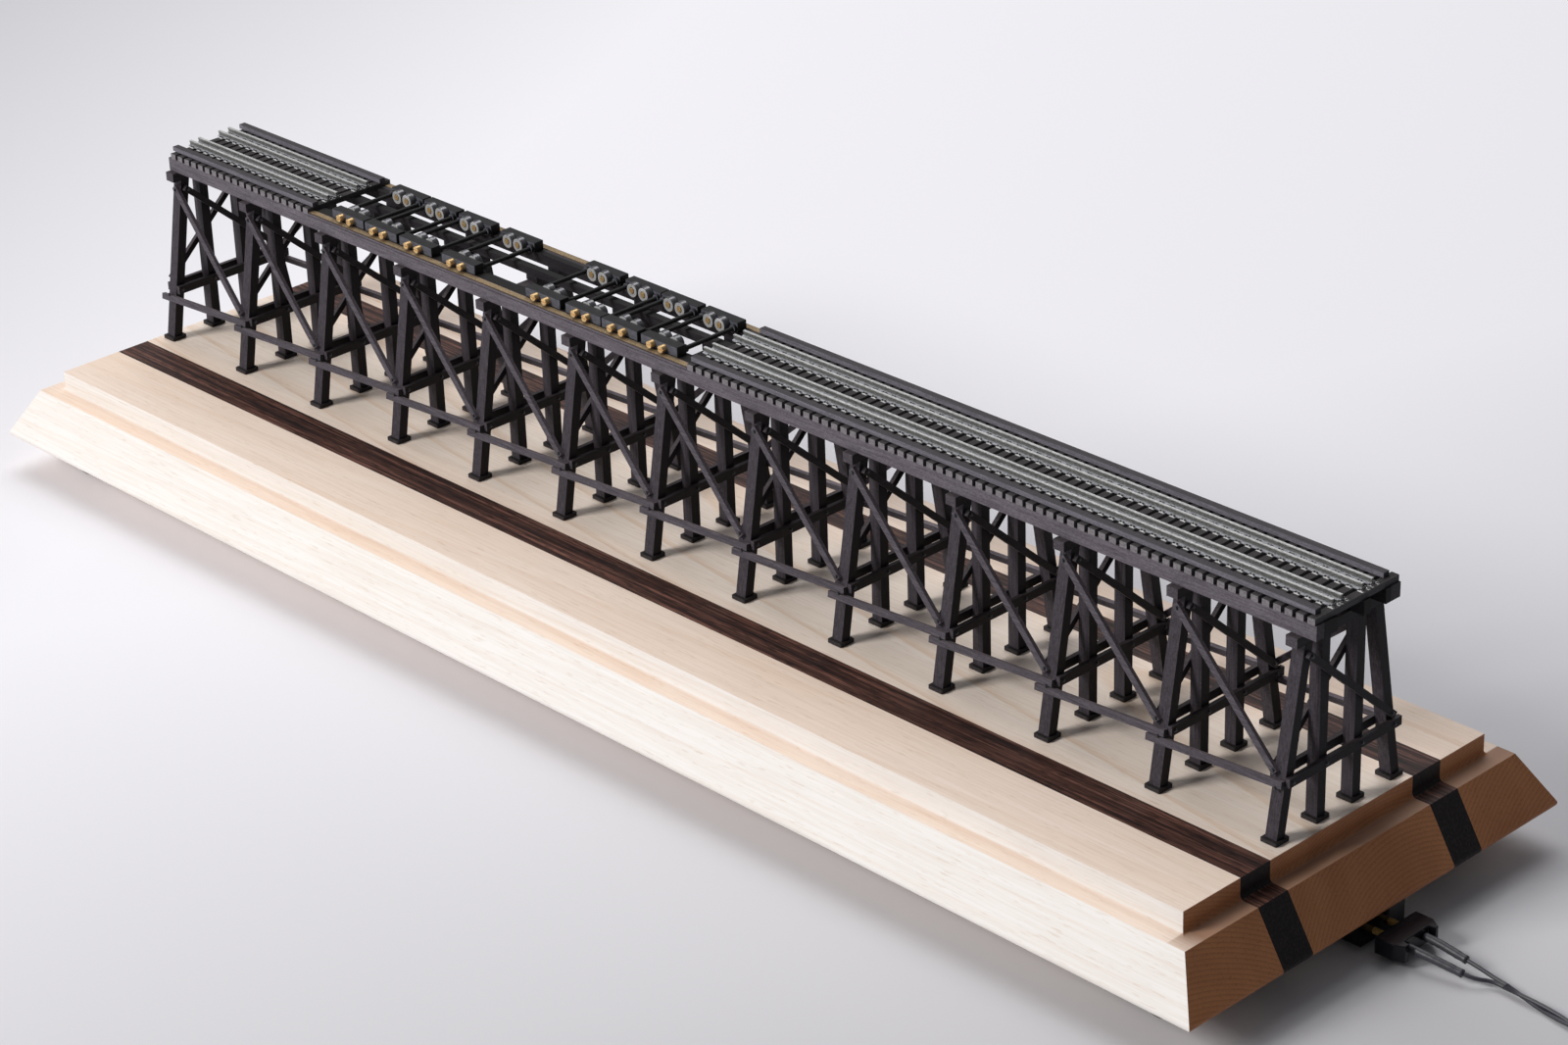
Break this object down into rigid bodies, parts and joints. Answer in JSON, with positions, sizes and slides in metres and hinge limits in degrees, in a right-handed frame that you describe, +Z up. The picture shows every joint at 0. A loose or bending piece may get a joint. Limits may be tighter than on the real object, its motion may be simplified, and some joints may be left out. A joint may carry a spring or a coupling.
{
  "type": "model railway trestle running stand",
  "caption": "Display stand for a model locomotive: a maple plinth with dark inlays, a timber trestle, track at both ends and sliding roller carriages between.",
  "frame": {"origin": "Middle of the plinth's outline, on the surface that the rubber feet stand on.", "axes": "+X along the track toward the end with the plug, +Y to the rear, away from the side that the picture is taken from, +Z up."},
  "size_m": [0.6956, 0.1684, 0.1117],
  "materials": {
    "maple": "satin",
    "wenge": "satin",
    "rubber": "matte",
    "screw_steel": "satin",
    "charcoal_timber": "matte",
    "brass": "polished",
    "rail_metal": "weathered",
    "carriage_black": "matte",
    "roller_steel": "polished",
    "plug_black": "gloss",
    "lead_grey": "satin"
  },
  "bodies": {
    "stand": {"front_board": "maple", "middle_board": "maple", "rear_board": "maple", "inlay_strips": "wenge", "rubber_feet": "rubber", "foot_screws": "screw_steel", "post_pads": "charcoal_timber", "posts": "charcoal_timber", "caps": "charcoal_timber", "sash_braces": "charcoal_timber", "sway_braces": "charcoal_timber", "girts": "charcoal_timber", "lengthwise_braces": "charcoal_timber", "stringers": "charcoal_timber", "ties": "charcoal_timber", "guard_timbers": "charcoal_timber", "brass_strips": "brass", "feed_rods": "brass", "rails": "rail_metal", "socket": "plug_black", "plug": "plug_black", "plug_pins": "brass", "lead_sleeves": "lead_grey", "lead_tails": "lead_grey", "lead": "lead_grey", "lead_coil": "lead_grey", "far_plug": "plug_black"},
    "carriage_1": {"carriage_1_frame": "carriage_black", "carriage_1_screws": "brass"},
    "roller_pair_1a": {"rollers_1a": "roller_steel"},
    "roller_pair_1b": {"rollers_1b": "roller_steel"},
    "carriage_2": {"carriage_2_frame": "carriage_black", "carriage_2_screws": "brass"},
    "roller_pair_2a": {"rollers_2a": "roller_steel"},
    "roller_pair_2b": {"rollers_2b": "roller_steel"},
    "carriage_3": {"carriage_3_frame": "carriage_black", "carriage_3_screws": "brass"},
    "roller_pair_3a": {"rollers_3a": "roller_steel"},
    "roller_pair_3b": {"rollers_3b": "roller_steel"},
    "carriage_4": {"carriage_4_frame": "carriage_black", "carriage_4_screws": "brass"},
    "roller_pair_4a": {"rollers_4a": "roller_steel"},
    "roller_pair_4b": {"rollers_4b": "roller_steel"},
    "carriage_5": {"carriage_5_frame": "carriage_black", "carriage_5_screws": "brass"},
    "roller_pair_5a": {"rollers_5a": "roller_steel"},
    "roller_pair_5b": {"rollers_5b": "roller_steel"},
    "carriage_6": {"carriage_6_frame": "carriage_black", "carriage_6_screws": "brass"},
    "roller_pair_6a": {"rollers_6a": "roller_steel"},
    "roller_pair_6b": {"rollers_6b": "roller_steel"},
    "carriage_7": {"carriage_7_frame": "carriage_black", "carriage_7_screws": "brass"},
    "roller_pair_7a": {"rollers_7a": "roller_steel"},
    "roller_pair_7b": {"rollers_7b": "roller_steel"},
    "carriage_8": {"carriage_8_frame": "carriage_black", "carriage_8_screws": "brass"},
    "roller_pair_8a": {"rollers_8a": "roller_steel"},
    "roller_pair_8b": {"rollers_8b": "roller_steel"}
  },
  "joints": [
    {"name": "carriage_1_slide", "type": "slide", "parent": "stand", "child": "carriage_1", "axis": [1, 0, 0], "range_m": [-0.009, 0.0003]},
    {"name": "roller_1a_spin", "type": "hinge", "parent": "carriage_1", "child": "roller_pair_1a", "pos_m": [-0.16895, 0.0043, 0.10925], "axis": [0, 1, 0], "continuous": true},
    {"name": "roller_1b_spin", "type": "hinge", "parent": "carriage_1", "child": "roller_pair_1b", "pos_m": [-0.16345, 0.0043, 0.10925], "axis": [0, 1, 0], "continuous": true},
    {"name": "carriage_2_slide", "type": "slide", "parent": "stand", "child": "carriage_2", "axis": [1, 0, 0], "range_m": [-0.0003, 0.0006]},
    {"name": "roller_2a_spin", "type": "hinge", "parent": "carriage_2", "child": "roller_pair_2a", "pos_m": [-0.15065, 0.0043, 0.10925], "axis": [0, 1, 0], "continuous": true},
    {"name": "roller_2b_spin", "type": "hinge", "parent": "carriage_2", "child": "roller_pair_2b", "pos_m": [-0.14515, 0.0043, 0.10925], "axis": [0, 1, 0], "continuous": true},
    {"name": "carriage_3_slide", "type": "slide", "parent": "stand", "child": "carriage_3", "axis": [1, 0, 0], "range_m": [-0.0006, 0.0025]},
    {"name": "roller_3a_spin", "type": "hinge", "parent": "carriage_3", "child": "roller_pair_3a", "pos_m": [-0.13165, 0.0043, 0.10925], "axis": [0, 1, 0], "continuous": true},
    {"name": "roller_3b_spin", "type": "hinge", "parent": "carriage_3", "child": "roller_pair_3b", "pos_m": [-0.12615, 0.0043, 0.10925], "axis": [0, 1, 0], "continuous": true},
    {"name": "carriage_4_slide", "type": "slide", "parent": "stand", "child": "carriage_4", "axis": [1, 0, 0], "range_m": [-0.0025, 0.0125]},
    {"name": "roller_4a_spin", "type": "hinge", "parent": "carriage_4", "child": "roller_pair_4a", "pos_m": [-0.10855, 0.0043, 0.10925], "axis": [0, 1, 0], "continuous": true},
    {"name": "roller_4b_spin", "type": "hinge", "parent": "carriage_4", "child": "roller_pair_4b", "pos_m": [-0.10305, 0.0043, 0.10925], "axis": [0, 1, 0], "continuous": true},
    {"name": "carriage_5_slide", "type": "slide", "parent": "stand", "child": "carriage_5", "axis": [1, 0, 0], "range_m": [-0.0125, 0.0012]},
    {"name": "roller_5a_spin", "type": "hinge", "parent": "carriage_5", "child": "roller_pair_5a", "pos_m": [-0.06455, 0.0043, 0.10925], "axis": [0, 1, 0], "continuous": true},
    {"name": "roller_5b_spin", "type": "hinge", "parent": "carriage_5", "child": "roller_pair_5b", "pos_m": [-0.05905, 0.0043, 0.10925], "axis": [0, 1, 0], "continuous": true},
    {"name": "carriage_6_slide", "type": "slide", "parent": "stand", "child": "carriage_6", "axis": [1, 0, 0], "range_m": [-0.0012, 0.00015]},
    {"name": "roller_6a_spin", "type": "hinge", "parent": "carriage_6", "child": "roller_pair_6a", "pos_m": [-0.04425, 0.0043, 0.10925], "axis": [0, 1, 0], "continuous": true},
    {"name": "roller_6b_spin", "type": "hinge", "parent": "carriage_6", "child": "roller_pair_6b", "pos_m": [-0.03875, 0.0043, 0.10925], "axis": [0, 1, 0], "continuous": true},
    {"name": "carriage_7_slide", "type": "slide", "parent": "stand", "child": "carriage_7", "axis": [1, 0, 0], "range_m": [-0.00015, 0.0008]},
    {"name": "roller_7a_spin", "type": "hinge", "parent": "carriage_7", "child": "roller_pair_7a", "pos_m": [-0.02625, 0.0043, 0.10925], "axis": [0, 1, 0], "continuous": true},
    {"name": "roller_7b_spin", "type": "hinge", "parent": "carriage_7", "child": "roller_pair_7b", "pos_m": [-0.02075, 0.0043, 0.10925], "axis": [0, 1, 0], "continuous": true},
    {"name": "carriage_8_slide", "type": "slide", "parent": "stand", "child": "carriage_8", "axis": [1, 0, 0], "range_m": [-0.0007, 0.005]},
    {"name": "roller_8a_spin", "type": "hinge", "parent": "carriage_8", "child": "roller_pair_8a", "pos_m": [-0.00695, 0.0043, 0.10925], "axis": [0, 1, 0], "continuous": true},
    {"name": "roller_8b_spin", "type": "hinge", "parent": "carriage_8", "child": "roller_pair_8b", "pos_m": [-0.00145, 0.0043, 0.10925], "axis": [0, 1, 0], "continuous": true}
  ]
}
